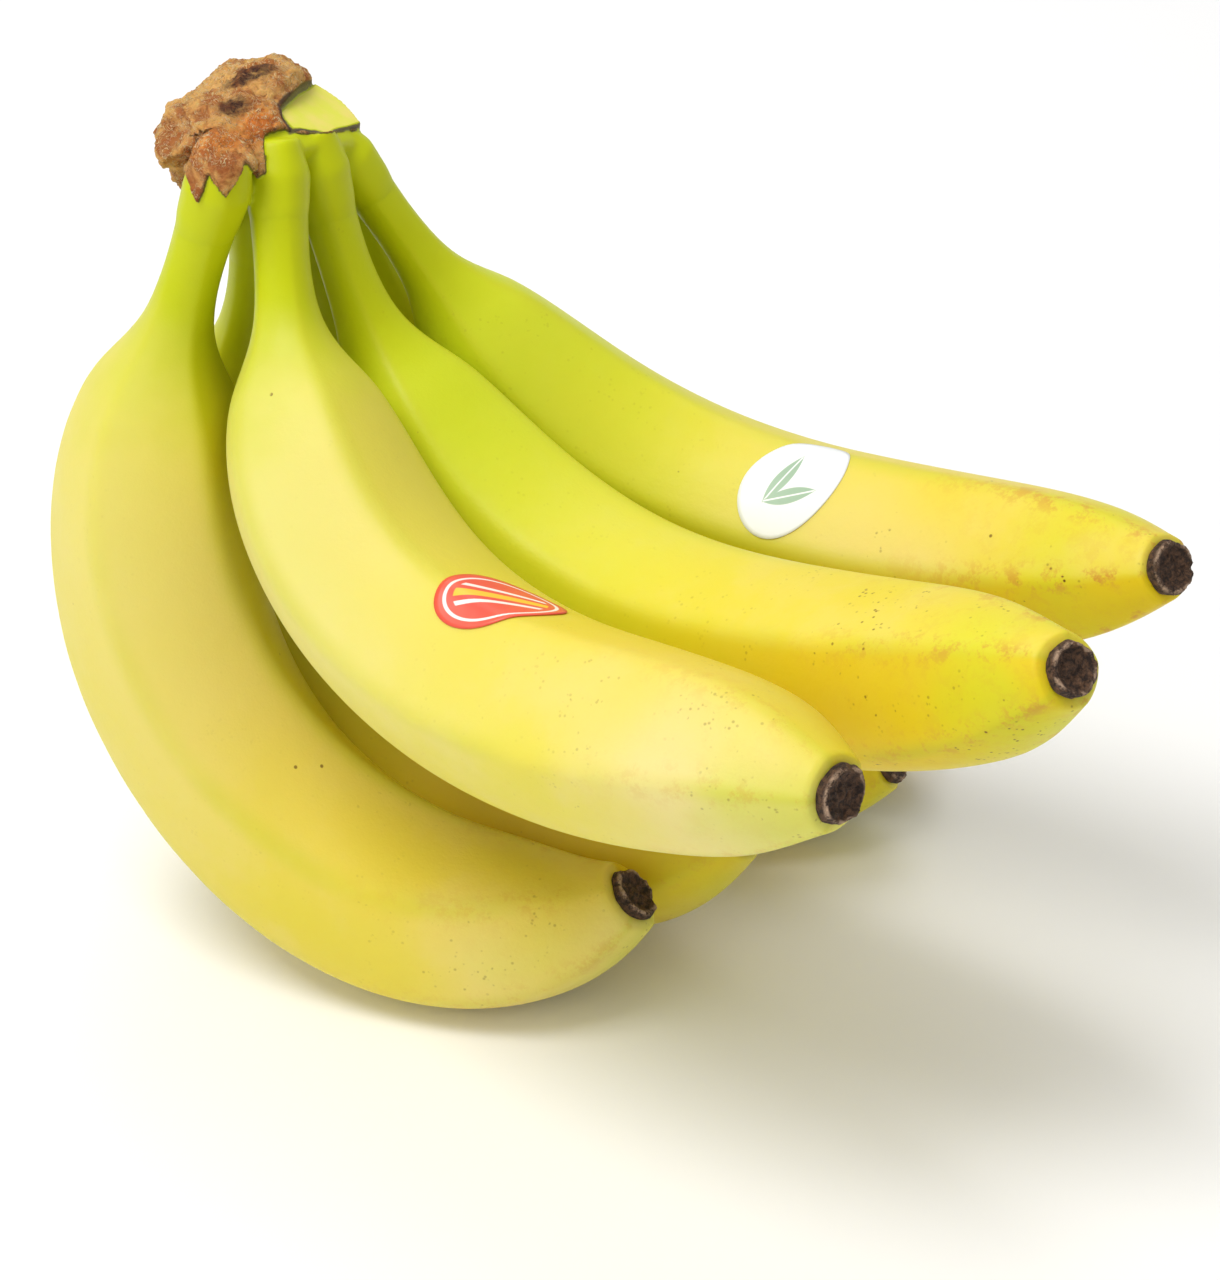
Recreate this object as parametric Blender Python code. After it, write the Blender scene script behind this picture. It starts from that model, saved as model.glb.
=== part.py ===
"""A bunch of seven bananas, as cut from the stem and laid on its curved side. Metres, +Z up, floor at z = 0."""

import math

import bmesh
import bpy
import numpy as np
from mathutils import Matrix, Vector, noise

MM = 0.001

# Each banana: root = where its stalk leaves the crown (mm); heading = compass turn of its plane at the
# stalk and at the tip; lean = how far that plane tips sideways; pitch = climb of the centre line at the
# five stations below; length along the centre line and girth radius in mm; turn = where its ridges sit
# at the stalk and at the tip; plump = radius in mm added on the inner side only.
PITCH_STATIONS = (0.0, 0.22, 0.5, 0.75, 1.0)
FINGERS = {
    "banana_front_1": dict(root=(-70, 26, 166), heading=(-32, -16), lean=-6,
                           pitch=(-107, -102, -63, -19, 44), length=225, girth=17.5, turn=(45, -30),
                           plump=2.4),
    "banana_front_2": dict(root=(-59, 33, 161), heading=(-32, -49), lean=-21,
                           pitch=(-77, -63, -14, 12, 10), length=195, girth=19.0, turn=(36, 26)),
    "banana_front_3": dict(root=(-52, 43, 157), heading=(-28, -52), lean=-1,
                           pitch=(-80, -54, -2, 21, 34), length=226, girth=18.2, turn=(46, 46)),
    "banana_front_4": dict(root=(-47, 52, 154), heading=(-20, -39), lean=16,
                           pitch=(-66, -57, -9, 14, 27), length=211, girth=16.8, turn=(54, 60)),
    "banana_back_1": dict(root=(-64, 41, 152), heading=(-43, -25), lean=3,
                          pitch=(-96, -108, -51, -2, 41), length=230, girth=17.5, turn=(20, 20)),
    "banana_back_2": dict(root=(-56, 51, 150), heading=(-20, -11), lean=8,
                          pitch=(-85, -77, -61, -21, 27), length=202, girth=17.7, turn=(20, 20)),
    "banana_back_3": dict(root=(-48, 60, 149), heading=(-44, -41), lean=28,
                          pitch=(-106, -97, -64, -32, 7), length=208, girth=18.1, turn=(20, 20)),
}
RESTING = ("banana_front_1", "banana_back_1", "banana_back_2", "banana_back_3")

# Thickness along a banana, as a share of its girth radius: thin stalk, quick shoulder, blunt tip.
SHAPE_ALONG = (0.0, 0.06, 0.115, 0.15, 0.175, 0.205, 0.235, 0.29, 0.365, 0.45, 0.60, 0.72, 0.81, 0.88,
               0.94, 0.975, 1.0)
SHAPE_RADIUS = (0.31, 0.275, 0.295, 0.375, 0.50, 0.68, 0.80, 0.92, 0.985, 1.0, 0.99, 0.97, 0.91, 0.81,
                0.65, 0.50, 0.40)
RING_STATIONS = (0.0, 0.04, 0.08, 0.115, 0.145, 0.17, 0.19, 0.21, 0.235, 0.265, 0.305, 0.355, 0.41,
                 0.47, 0.53, 0.59, 0.65, 0.71, 0.77, 0.82, 0.865, 0.905, 0.94, 0.97)
SIDES = 20
FLATNESS = 0.40          # 0 = round section, 1 = sharp five-sided section
PRESS_GAP = 0.0005      # clearance left where two bananas press together
REST_FLAT = 0.0008       # depth of the small flat worn where a banana lies on the surface

TIP_RADIUS = 0.0054      # dried blossom end
TIP_LENGTH = 0.0036
TIP_DISH = 0.0010
TIP_SIDES = 18
FIT_GAP = 0.0003         # gap between pieces that touch

# Crown, in mm and in its own directions: along the row, across the rows, upwards.
CROWN_HALF = (24.6, 12.0)    # along the row, across the rows
CROWN_OFFSET = -3.0          # its middle lies this far towards the first banana
CROWN_TOP = ((-28, 11.5), (-24, 15.5), (-17, 19.0), (-9, 22.0), (0, 24.6), (6, 26.4), (10, 24.0), (16, 17.5),
             (22, 10.0))     # height of its top at places along the row
CROWN_SPINE = (2.0, 0.52)    # the top line lies this far to the back, and the top slopes away from it
CROWN_LOW = -3.5
CROWN_LUMPS = 0.7            # depth of the corky unevenness
CROWN_CUT = dict(start=-1.0, above=5.5, face=-8.6)   # fresh flat cut on the front, at the end of the row
SOCKET_GAP = 0.0003

STICKER_GAP = 0.0003
STICKER_THICK = 0.0003
# spin = turn of the sticker's long side away from the banana's own direction, in degrees
WHITE_STICKER = dict(banana="banana_front_4", along=0.60, around=12.0, half_long=0.0126, half_wide=0.0098,
                     spin=-45.0)
RED_STICKER = dict(banana="banana_front_2", along=0.575, around=15.0, half_long=0.0145, half_wide=0.0080,
                   spin=-35.0)


def clear_scene():
    for obj in list(bpy.data.objects):
        bpy.data.objects.remove(obj, do_unlink=True)


def collection(name, hidden=False):
    made = bpy.data.collections.new(name)
    bpy.context.scene.collection.children.link(made)
    made.hide_render = hidden
    return made


def material(name, colour, roughness):
    made = bpy.data.materials.new(name)
    made.use_nodes = True
    shader = made.node_tree.nodes["Principled BSDF"]
    shader.inputs["Base Color"].default_value = (*colour, 1.0)
    shader.inputs["Roughness"].default_value = roughness
    return made


def natural_spline(knots, values, at):
    """A smooth curve through the knots, with no bend at its ends."""
    x = np.array(knots, float)
    y = np.array(values, float)
    gap = np.diff(x)
    size = len(x)
    system = np.zeros((size, size))
    right = np.zeros(size)
    system[0, 0] = system[-1, -1] = 1.0
    for i in range(1, size - 1):
        system[i, i - 1] = gap[i - 1]
        system[i, i] = 2 * (gap[i - 1] + gap[i])
        system[i, i + 1] = gap[i]
        right[i] = 6 * ((y[i + 1] - y[i]) / gap[i] - (y[i] - y[i - 1]) / gap[i - 1])
    bend = np.linalg.solve(system, right)
    i = np.clip(np.searchsorted(x, at) - 1, 0, size - 2)
    before = at - x[i]
    after = x[i + 1] - at
    return (bend[i] * after**3 + bend[i + 1] * before**3) / (6 * gap[i]) + (
        y[i] / gap[i] - bend[i] * gap[i] / 6
    ) * after + (y[i + 1] / gap[i] - bend[i + 1] * gap[i] / 6) * before


class Finger:
    """The centre line of one banana, its thickness and the directions across it."""

    def __init__(self, spec, samples=121):
        s = np.linspace(0, 1, samples)
        self.s = s
        self.length = spec["length"] * MM
        pitch = np.radians(natural_spline(PITCH_STATIONS, spec["pitch"], s))
        heading = np.radians(spec["heading"][0] + (spec["heading"][1] - spec["heading"][0]) * s)
        lean = math.radians(spec["lean"])
        ahead = np.stack([np.cos(heading), np.sin(heading), 0 * s], 1)
        aside = np.stack([np.sin(heading), -np.cos(heading), 0 * s], 1)
        upward = math.cos(lean) * np.array([0.0, 0.0, 1.0]) + math.sin(lean) * aside
        climb, run = np.sin(pitch)[:, None], np.cos(pitch)[:, None]
        self.tangent = run * ahead + climb * upward
        self.tangent /= np.linalg.norm(self.tangent, axis=1)[:, None]
        self.inner = run * upward - climb * ahead
        step = self.length / (samples - 1)
        moves = (self.tangent[1:] + self.tangent[:-1]) / 2 * step
        path = np.concatenate([[[0, 0, 0]], np.cumsum(moves, 0)])
        shape = natural_spline(SHAPE_ALONG, SHAPE_RADIUS, s) * MM
        plump = spec.get("plump", 0)
        self.centre = path + np.array(spec["root"]) * MM + self.inner * (shape * plump)[:, None]
        self.radius = shape * (spec["girth"] + plump)
        self.turn = spec["turn"]
        self.neighbours = []

    def drop_to(self, height):
        self.centre[:, 2] += height - (self.centre[:, 2] - self.radius).min()

    def read(self, rows, at):
        return np.array([np.interp(at, self.s, rows[:, k]) for k in range(3)])

    def frame(self, at):
        """Centre, direction, inner side and flank at a station."""
        tangent = self.read(self.tangent, at)
        tangent /= np.linalg.norm(tangent)
        inner = self.read(self.inner, at)
        inner -= tangent * inner.dot(tangent)
        inner /= np.linalg.norm(inner)
        return self.read(self.centre, at), tangent, inner, np.cross(tangent, inner)

    def section(self, at, angle):
        """Five soft ridges: the distance of the skin from the middle, as a share of the radius."""
        turned = self.turn[0] + (self.turn[1] - self.turn[0]) * at
        sector = (angle - turned) % 72 - 36
        side = math.cos(math.radians(36)) / math.cos(math.radians(sector))
        return 1 + FLATNESS * (side - 0.88)

    def depth(self, points):
        """How far outside this banana each point is (negative inside)."""
        gaps = np.linalg.norm(points[:, None] - self.centre[None, ::2], axis=2)
        return (gaps - self.radius[None, ::2]).min(1)

    def skin(self, at, angles, grow=0.0, pressed=True):
        """Points of the skin at one station, kept clear of every neighbour when pressed."""
        centre, _, inner, flank = self.frame(at)
        base = float(np.interp(at, self.s, self.radius))
        blend = float(np.clip((at - 0.10) / 0.12, 0, 1) * np.clip((0.99 - at) / 0.08, 0, 1))
        turned = np.radians(angles)
        ways = np.cos(turned)[:, None] * inner + np.sin(turned)[:, None] * flank
        full = np.array([base * (1 + (self.section(at, a) - 1) * (0.35 + 0.65 * blend)) for a in angles])

        def clear(reach):
            points = centre + ways * reach[:, None]
            others = np.min([other.depth(points) for other in self.neighbours], axis=0)
            return self.depth(points) < others - PRESS_GAP

        if not pressed:
            return centre + ways * (full + grow)[:, None]
        inside, outside = 0 * full, full.copy()
        for _ in range(12):
            middle = (inside + outside) / 2
            good = clear(middle)
            inside = np.where(good, middle, inside)
            outside = np.where(good, outside, middle)
        reach = np.where(clear(full), full, inside)
        return centre + ways * (reach + grow)[:, None]


def loft(name, rings, where, look=None):
    """A closed body through rings of points, with flat ends."""
    mesh = bmesh.new()
    rows = [[mesh.verts.new(p) for p in ring] for ring in rings]
    for row, following in zip(rows, rows[1:]):
        for i in range(len(row)):
            j = (i + 1) % len(row)
            mesh.faces.new((row[i], row[j], following[j], following[i]))
    mesh.faces.new(list(reversed(rows[0])))
    mesh.faces.new(rows[-1])
    return finish(name, mesh, where, look)


def finish(name, mesh, where, look=None):
    bmesh.ops.recalc_face_normals(mesh, faces=mesh.faces)
    data = bpy.data.meshes.new(name)
    mesh.to_mesh(data)
    mesh.free()
    obj = bpy.data.objects.new(name, data)
    where.objects.link(obj)
    if look:
        data.materials.append(look)
    else:
        obj.display_type = "WIRE"
        obj.hide_render = True
    return obj


def cut(obj, cutter):
    change = obj.modifiers.new("cut_" + cutter.name, "BOOLEAN")
    change.operation = "DIFFERENCE"
    change.solver = "EXACT"
    change.object = cutter


def build_banana(name, finger, parts, look):
    angles = np.arange(SIDES) * 360 / SIDES
    last = 1 - (TIP_LENGTH * 0.55 + FIT_GAP) / finger.length
    stations = [s for s in RING_STATIONS if s < last - 0.008] + [last]
    return loft(name, [finger.skin(s, angles) for s in stations], parts, look)


def build_tip(name, finger, parts, look):
    """The dried blossom end: a short dark stub with a dished face."""
    start = finger.length - TIP_LENGTH * 0.55
    profile = (
        (0.0, 0.86), (TIP_LENGTH * 0.25, 1.0), (TIP_LENGTH * 0.8, 0.97), (TIP_LENGTH, 0.84),
        (TIP_LENGTH - TIP_DISH * 0.6, 0.62), (TIP_LENGTH - TIP_DISH, 0.25),
    )
    centre, tangent, inner, flank = finger.frame(1.0)
    rings = []
    for along, share in profile:
        middle = centre + tangent * (start - finger.length + along)
        ring = []
        for k in range(TIP_SIDES):
            turned = 2 * math.pi * k / TIP_SIDES
            way = math.cos(turned) * inner + math.sin(turned) * flank
            ring.append(middle + way * TIP_RADIUS * share)
        rings.append(ring)
    return loft(name, rings, parts, look)


def build_sticker(name, finger, spec, parts, look):
    """A thin oval patch that follows the skin of its banana."""
    rows, spokes = 4, 24
    spin = math.radians(spec["spin"])
    faces = []
    for lift in (STICKER_GAP, STICKER_GAP + STICKER_THICK):
        layer = []
        for row in range(rows + 1):
            ring = []
            for k in range(spokes if row else 1):
                turned = 2 * math.pi * k / spokes
                share = row / rows
                long = spec["half_long"] * share * math.cos(turned)
                wide = spec["half_wide"] * share * math.sin(turned)
                ahead = long * math.cos(spin) - wide * math.sin(spin)
                aside = long * math.sin(spin) + wide * math.cos(spin)
                at = spec["along"] + ahead / finger.length
                around = spec["around"] + math.degrees(aside / np.interp(at, finger.s, finger.radius))
                ring.append(finger.skin(at, np.array([around]), lift)[0])
            layer.append(ring)
        faces.append(layer)
    mesh = bmesh.new()
    under, over = [[[mesh.verts.new(p) for p in ring] for ring in layer] for layer in faces]
    for layer in (under, over):
        for k in range(spokes):
            j = (k + 1) % spokes
            mesh.faces.new((layer[0][0], layer[1][k], layer[1][j]))
            for row in range(1, rows):
                mesh.faces.new((layer[row][k], layer[row + 1][k], layer[row + 1][j], layer[row][j]))
    for k in range(spokes):
        j = (k + 1) % spokes
        mesh.faces.new((under[rows][k], under[rows][j], over[rows][j], over[rows][k]))
    return finish(name, mesh, parts, look)


def crown_frame(fingers):
    """Middle of the stalk roots, with the way along the row, across the rows and up."""
    roots = {name: Vector(finger.centre[0]) for name, finger in fingers.items()}
    front = [roots[name] for name in roots if "front" in name]
    back = [roots[name] for name in roots if "back" in name]
    row = (front[-1] - front[0]).normalized()
    across = sum(back, Vector()) / len(back) - sum(front, Vector()) / len(front)
    across = (across - row * row.dot(across)).normalized()
    up = row.cross(across)
    middle = Vector()
    for way in (row, across, up):
        reach = [way.dot(root) for root in roots.values()]
        middle += way * (min(reach) + max(reach)) / 2
    return middle, row, across, up


def build_crown(fingers, parts, helpers, look):
    """A corky dome with one fresh cut face, hollowed where each stalk grows out of it."""
    middle, row, across, up = crown_frame(fingers)
    mesh = bmesh.new()
    bmesh.ops.create_cube(mesh, size=2.0)
    bmesh.ops.subdivide_edges(mesh, edges=mesh.edges, cuts=13, use_grid_fill=True)
    for vert in mesh.verts:
        a, b, c = vert.co
        h = (c + 1) / 2
        rim = max(abs(a), abs(b))
        x = CROWN_HALF[0] * a * (1 - 0.25 * b * b) * (1 - 0.06 * h * h) + CROWN_OFFSET
        y = CROWN_HALF[1] * b * (1 - 0.30 * a * a) * (1 - 0.10 * h * h)
        top = np.interp(x, [p[0] for p in CROWN_TOP], [p[1] for p in CROWN_TOP])
        top -= CROWN_SPINE[1] * abs(y - CROWN_SPINE[0]) + 2.5 * rim**5
        low = CROWN_LOW + 1.5 * rim**3
        place = Vector((x, y, low + h * (top - low)))
        place += place.normalized() * noise.noise(place * 0.16) * CROWN_LUMPS
        if place.x > CROWN_CUT["start"] and place.z > CROWN_CUT["above"]:
            place.y = max(place.y, CROWN_CUT["face"])
        vert.co = place * MM
    turn = Matrix((row, across, up)).transposed().to_4x4()
    bmesh.ops.transform(mesh, matrix=Matrix.Translation(middle) @ turn, verts=mesh.verts)
    crown = finish("crown", mesh, parts, look)
    angles = np.arange(SIDES) * 360 / SIDES
    for name, finger in fingers.items():
        rings = [finger.skin(s, angles, SOCKET_GAP, pressed=False) for s in RING_STATIONS[:6]]
        rings[0] = rings[0] - finger.tangent[0] * SOCKET_GAP
        cut(crown, loft("socket_" + name, rings, helpers))
    return crown


def build_floor_cutter(helpers):
    mesh = bmesh.new()
    bmesh.ops.create_cube(mesh, size=1.0)
    bmesh.ops.scale(mesh, vec=(0.8, 0.8, 0.05), verts=mesh.verts)
    bmesh.ops.translate(mesh, vec=(0, 0, -0.025), verts=mesh.verts)
    return finish("floor_cutter", mesh, helpers)


def centre_on_origin(parts, helpers):
    """The bunch stands with the middle of its outline over the origin."""
    points = [vert.co for obj in parts.objects for vert in obj.data.vertices if obj.name != "crown"]
    shift = [-(min(p[k] for p in points) + max(p[k] for p in points)) / 2 for k in (0, 1)]
    for obj in list(parts.objects) + list(helpers.objects):
        obj.data.transform(Matrix.Translation((*shift, 0)))


def main():
    clear_scene()
    parts = collection("banana_bunch")
    helpers = collection("cutters", hidden=True)
    fingers = {name: Finger(spec) for name, spec in FINGERS.items()}
    for name in RESTING:
        fingers[name].drop_to(-REST_FLAT)
    for finger in fingers.values():
        finger.neighbours = [other for other in fingers.values() if other is not finger]
    floor = build_floor_cutter(helpers)
    for number, (name, finger) in enumerate(fingers.items()):
        peel = material("peel_" + name, (0.80, 0.68 + 0.01 * number, 0.12), 0.45)
        banana = build_banana(name, finger, parts, peel)
        if name in RESTING:
            cut(banana, floor)
        dry = material("blossom_end_" + name, (0.06, 0.04, 0.03), 0.8)
        build_tip(name.replace("banana", "blossom_end"), finger, parts, dry)
    build_crown(fingers, parts, helpers, material("crown", (0.28, 0.16, 0.07), 0.85))
    white = material("sticker_white", (0.85, 0.86, 0.84), 0.4)
    red = material("sticker_red", (0.75, 0.12, 0.08), 0.4)
    build_sticker("sticker_white", fingers[WHITE_STICKER["banana"]], WHITE_STICKER, parts, white)
    build_sticker("sticker_red", fingers[RED_STICKER["banana"]], RED_STICKER, parts, red)
    centre_on_origin(parts, helpers)


main()
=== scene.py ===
# A bunch of seven bananas with a corky crown, lying on its curved side.
import math

import bmesh
import bpy
import numpy as np
from mathutils import Matrix, Vector, noise


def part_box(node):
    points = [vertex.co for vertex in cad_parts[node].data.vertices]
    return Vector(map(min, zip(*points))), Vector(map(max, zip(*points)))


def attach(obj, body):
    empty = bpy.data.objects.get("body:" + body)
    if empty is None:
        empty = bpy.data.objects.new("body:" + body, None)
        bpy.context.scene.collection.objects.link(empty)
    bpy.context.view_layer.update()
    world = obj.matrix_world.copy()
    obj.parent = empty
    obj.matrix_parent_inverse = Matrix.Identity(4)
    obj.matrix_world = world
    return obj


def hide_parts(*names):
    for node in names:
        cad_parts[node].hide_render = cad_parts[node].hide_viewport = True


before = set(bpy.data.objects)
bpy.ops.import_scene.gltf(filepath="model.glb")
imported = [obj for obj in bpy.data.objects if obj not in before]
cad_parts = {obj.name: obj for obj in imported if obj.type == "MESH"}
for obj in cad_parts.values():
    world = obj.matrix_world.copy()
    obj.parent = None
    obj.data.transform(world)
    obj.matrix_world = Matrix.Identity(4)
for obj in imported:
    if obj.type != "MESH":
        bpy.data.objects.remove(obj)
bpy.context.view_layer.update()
print("frame loaded,", len(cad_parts), "parts")

mm = 0.001

# each banana leaves the crown at root (mm) and runs on by its heading, lean and pitch (degrees); lengths in mm.
# turn is where its main ridge lies, and tip the size of its end. The faces past the main ridge, on one side of
# it, are painted with shade: a darker, more saturated yellow for the flank turned from the light, with some of
# the peel's own richer flank colour; the two keys just before tip set its side and strength
bananas = {
    "front_1": {"root": (-70, 26, 166), "heading": (-32, -16), "lean": -6, "length": 225, "girth": 17.5,
                "pitch": (-107, -102, -63, -19, 44), "turn": (45, -30), "plump": 2.4, "ripe": 0.5,
                "freckles": 0.35, "paintedShadeSide": -1, "paintedShade": 0.95, "tip": 0.95, "green": 0.25, "pale": 0.75},
    "front_2": {"root": (-59, 33, 161), "heading": (-32, -49), "lean": -21, "length": 195, "girth": 19.0,
                "pitch": (-77, -63, -14, 12, 10), "turn": (36, 26), "ripe": 0.10, "freckles": 0.35,
                "paintedShadeSide": -1, "paintedShade": 0.5, "tip": 1.0, "green": 0.35, "pale": 0.6},
    "front_3": {"root": (-52, 43, 157), "heading": (-28, -52), "lean": -1, "length": 226, "girth": 18.2,
                "pitch": (-80, -54, -2, 21, 34), "turn": (46, 46), "ripe": 0.12, "freckles": 0.8,
                "green": 1.0, "paintedShadeSide": 1, "paintedShade": 0.85, "tip": 0.88},
    "front_4": {"root": (-47, 52, 154), "heading": (-20, -39), "lean": 16, "length": 211, "girth": 16.8,
                "pitch": (-66, -57, -9, 14, 27), "turn": (54, 60), "ripe": 0.20, "freckles": 1.0,
                "green": 0.95, "paintedShadeSide": 1, "paintedShade": 1.0, "tip": 0.92},
    "back_1": {"root": (-64, 41, 152), "heading": (-43, -25), "lean": 3, "length": 230, "girth": 17.5,
               "pitch": (-96, -108, -51, -2, 41), "turn": (20, 20), "ripe": 0.85, "freckles": 0.35},
    "back_2": {"root": (-56, 51, 150), "heading": (-20, -11), "lean": 8, "length": 202, "girth": 17.7,
               "pitch": (-85, -77, -61, -21, 27), "turn": (20, 20), "ripe": 0.85, "freckles": 0.40},
    "back_3": {"root": (-48, 60, 149), "heading": (-44, -41), "lean": 28, "length": 208, "girth": 18.1,
               "pitch": (-106, -97, -64, -32, 7), "turn": (20, 20), "ripe": 0.80, "freckles": 0.40},
}
resting = ("front_1", "back_1", "back_2", "back_3")
shape = {
    "pitchAt": (0.0, 0.22, 0.5, 0.75, 1.0),
    "along": (0.0, 0.06, 0.115, 0.15, 0.175, 0.205, 0.235, 0.29, 0.365, 0.45, 0.60, 0.72, 0.81, 0.88,
              0.94, 0.975, 1.0),
    "radius": (0.31, 0.275, 0.295, 0.375, 0.50, 0.68, 0.80, 0.92, 0.985, 1.0, 0.99, 0.97, 0.91, 0.81,
               0.62, 0.45, 0.325),
    "face": 72,               # degrees of the section that each of the five faces takes
    "ridgeSharpness": 17,     # power of the rounded five-sided section
    "ridgeHeight": 0.50,
    "pressGap": 0.5 * mm,
    "restDepth": 0.8 * mm,
    "tipLength": 3.6 * mm,
    "tipSunk": 0.55,          # share of its length that lies before the end of the banana
    "tipMiddle": -0.05,
    "tipGap": 0.3 * mm,
}


# a smooth curve through the knots, straight at both ends
def naturalSpline(knots, values, at):
    x, y = np.array(knots, float), np.array(values, float)
    gap, size = np.diff(x), len(x)
    system, right = np.zeros((size, size)), np.zeros(size)
    system[0, 0] = system[-1, -1] = 1
    for i in range(1, size - 1):
        system[i, i - 1], system[i, i], system[i, i + 1] = gap[i - 1], 2 * (gap[i - 1] + gap[i]), gap[i]
        right[i] = 6 * ((y[i + 1] - y[i]) / gap[i] - (y[i] - y[i - 1]) / gap[i - 1])
    bend = np.linalg.solve(system, right)
    i = np.clip(np.searchsorted(x, at) - 1, 0, size - 2)
    before, after = at - x[i], x[i + 1] - at
    return ((bend[i] * after**3 + bend[i + 1] * before**3) / (6 * gap[i])
            + (y[i] / gap[i] - bend[i] * gap[i] / 6) * after
            + (y[i + 1] / gap[i] - bend[i + 1] * gap[i] / 6) * before)


def unit(rows):
    return rows / np.linalg.norm(rows, axis=-1, keepdims=True)


class Finger:
    def __init__(self, spec, samples=121):
        s = self.s = np.linspace(0, 1, samples)
        self.length = spec["length"] * mm
        self.turn = spec["turn"]
        pitch = np.radians(naturalSpline(shape["pitchAt"], spec["pitch"], s))
        heading = np.radians(spec["heading"][0] + (spec["heading"][1] - spec["heading"][0]) * s)
        lean = math.radians(spec["lean"])
        ahead = np.stack([np.cos(heading), np.sin(heading), 0 * s], 1)
        aside = np.stack([np.sin(heading), -np.cos(heading), 0 * s], 1)
        upward = math.cos(lean) * np.array([0.0, 0.0, 1.0]) + math.sin(lean) * aside
        climb, run = np.sin(pitch)[:, None], np.cos(pitch)[:, None]
        self.tangent = unit(run * ahead + climb * upward)
        self.inner = run * upward - climb * ahead
        moves = (self.tangent[1:] + self.tangent[:-1]) / 2 * self.length / (samples - 1)
        thickness = naturalSpline(shape["along"], shape["radius"], s) * mm
        plump = spec.get("plump", 0)     # extra radius, all of it on the inner side
        self.centre = np.concatenate([[[0, 0, 0]], np.cumsum(moves, 0)]) + np.array(spec["root"]) * mm
        self.centre += self.inner * (thickness * plump)[:, None]
        self.radius = thickness * (spec["girth"] + plump)
        self.slope = np.gradient(self.radius, self.length / (samples - 1))
        self.neighbours = []

    def read(self, rows, at):
        return np.stack([np.interp(at, self.s, rows[:, k]) for k in range(3)], -1)

    def frame(self, at):
        tangent = unit(self.read(self.tangent, at))
        inner = self.read(self.inner, at)
        inner = unit(inner - tangent * (inner * tangent).sum(-1, keepdims=True))
        return self.read(self.centre, at), tangent, inner, np.cross(tangent, inner)

    # 0 on one of the five ridges, 1 halfway between two
    def ridge(self, at, angle):
        turned = self.turn[0] + (self.turn[1] - self.turn[0]) * at
        half = shape["face"] / 2
        return np.abs((angle - turned + half) % shape["face"] - half) / half

    # 1 on the faces beyond the main ridge, on the given side of it, where the flank's painted shade goes
    def beyond(self, at, angle, side):
        turned = self.turn[0] + (self.turn[1] - self.turn[0]) * at
        gone = ((angle - turned) * side + 180) % 360 - 180
        return np.clip((gone + 5) / 12, 0, 1) * np.clip((150 - gone) / 60, 0, 1)

    # the rounded five-sided section, as a share of the plain radius
    def section(self, at, angle):
        turned = self.turn[0] + (self.turn[1] - self.turn[0]) * at + shape["face"] / 2
        power = shape["ridgeSharpness"]
        total = sum(np.clip(np.cos(np.radians(angle - turned - face)), 0, 1) ** power
                    for face in range(0, 360, shape["face"]))
        blend = np.clip((at - 0.10) / 0.12, 0, 1) * np.clip((1.03 - at) / 0.13, 0, 1)
        return 1 + (shape["ridgeHeight"] * (total ** (-1 / power) - 1) - 0.030) * (0.35 + 0.65 * blend)

    # distance of each point from the skin, negative inside
    def depth(self, points):
        gaps = points[:, None] - self.centre[None, ::3]
        near = np.clip((gaps**2).sum(2).argmin(1) * 3, 0, len(self.s) - 1)
        offset = points - self.centre[near]
        half = self.length / (len(self.s) - 1) * 1.6
        along = np.clip((offset * self.tangent[near]).sum(1), -half, half)
        across = offset - self.tangent[near] * along[:, None]
        return np.sqrt((across**2).sum(1)) - (self.radius[near] + self.slope[near] * along)

    # points of the peel, pressed in where a neighbour is in the way
    def skin(self, at, angle, grow=0.0, pressed=True):
        centre, _, inner, flank = self.frame(at)
        turned = np.radians(angle)[..., None]
        ways = np.cos(turned) * inner + np.sin(turned) * flank
        full = np.interp(at, self.s, self.radius) * self.section(at, angle)
        reach = full.copy()
        if pressed and self.neighbours:
            def clear(rows, wide):
                points = centre[rows] + ways[rows] * wide[:, None]
                others = np.min([other.depth(points) for other in self.neighbours], axis=0)
                return self.depth(points) < others - shape["pressGap"]

            every = np.arange(len(full))
            tight = every[~clear(every, full)]
            inside, outside = 0 * full[tight], full[tight].copy()
            for _ in range(11):
                middle = (inside + outside) / 2
                good = clear(tight, middle)
                inside, outside = np.where(good, middle, inside), np.where(good, outside, middle)
            reach[tight] = inside
        return centre + ways * (reach + grow)[..., None]


fingers = {name: Finger(spec) for name, spec in bananas.items()}
for name in resting:
    finger = fingers[name]
    finger.centre[:, 2] -= shape["restDepth"] + (finger.centre[:, 2] - finger.radius).min()
for finger in fingers.values():
    finger.neighbours = [other for other in fingers.values() if other is not finger]

# the parts stand with the middle of their outline over the origin, so the centre lines move there too
low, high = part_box("blossom_end_front_3")
tip = fingers["front_3"]
endPoint = tip.centre[-1] + tip.tangent[-1] * shape["tipLength"] * shape["tipMiddle"]
shift = np.array([(low.x + high.x) / 2 - endPoint[0], (low.y + high.y) / 2 - endPoint[1], 0])
for finger in fingers.values():
    finger.centre = finger.centre + shift
print("centre lines laid, moved by", [round(v / mm, 2) for v in shift])


# a flat grid, and how far each of its points lies across and along it, from 0 to 1
def sheet(across, along):
    mesh = bmesh.new()
    bmesh.ops.create_grid(mesh, x_segments=across, y_segments=along, size=0.5)
    flat = np.array([vert.co[:2] for vert in mesh.verts]) + 0.5
    return mesh, np.clip(flat, 0, 1)


def settle(mesh, points):
    for vert, point in zip(mesh.verts, points):
        vert.co = point


def keep(mesh, name, values):
    layer = mesh.verts.layers.float.get(name) or mesh.verts.layers.float.new(name)
    for vert, value in zip(mesh.verts, values):
        vert[layer] = float(value)


def closeEnds(mesh):
    bmesh.ops.holes_fill(mesh, edges=[edge for edge in mesh.edges if edge.is_boundary])


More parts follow.
